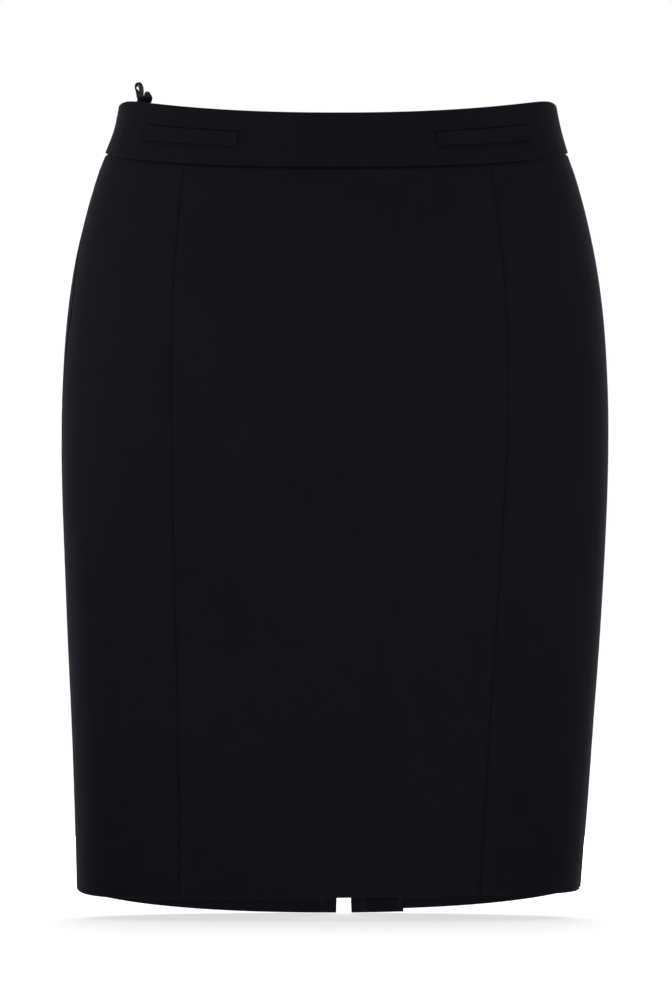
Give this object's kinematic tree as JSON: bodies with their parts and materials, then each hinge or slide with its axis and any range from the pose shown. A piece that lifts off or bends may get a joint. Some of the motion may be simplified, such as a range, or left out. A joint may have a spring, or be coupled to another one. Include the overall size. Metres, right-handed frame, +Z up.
{
  "type": "pencil skirt",
  "caption": "Straight knee-length pencil skirt in dark navy suiting, with a shaped waistband, mock welts, princess seams, hanger loops, a concealed back zip and a walking slit.",
  "frame": {"origin": "Centre of the waist opening, level with the top edge of the waistband at the sides, where the wearer's waist holds the skirt up.", "axes": "Metres, +Z up along the wearer. The front faces -Y. The wearer's right side is at -X and their left side at +X; left and right in the names are the wearer's."},
  "size_m": [0.37, 0.2302, 0.5651],
  "materials": {
    "suiting": "fine matt navy suiting with a faint blue sheen at grazing angles",
    "turned_cloth": "wrong side of the navy suiting, matt",
    "zip_tape": "navy woven zip tape, matt",
    "loop_tape": "black narrow satin tape",
    "dark_metal": "dark lacquered zip metal, satin"
  },
  "bodies": {
    "skirt": {"front_centre_panel": "suiting", "front_side_panel_right": "suiting", "front_side_panel_left": "suiting", "back_panel_right": "suiting", "back_panel_left": "suiting", "waistband_front": "suiting", "waistband_back_right": "suiting", "waistband_back_left": "suiting", "welt_right": "suiting", "welt_left": "suiting", "slit_facing_left": "turned_cloth", "zip_tape_right": "zip_tape", "zip_tape_left": "zip_tape", "hanger_loop_tall": "loop_tape", "hanger_loop_low": "loop_tape", "zip_slider": "dark_metal"},
    "pull_tab": {"zip_pull_tab": "dark_metal"}
  },
  "joints": [
    {"name": "pull_tab_hinge", "type": "hinge", "parent": "skirt", "child": "pull_tab", "pos_m": [0.00032, 0.09268, -0.01271], "axis": [1, 0, 0], "range_deg": [0, 160]}
  ]
}
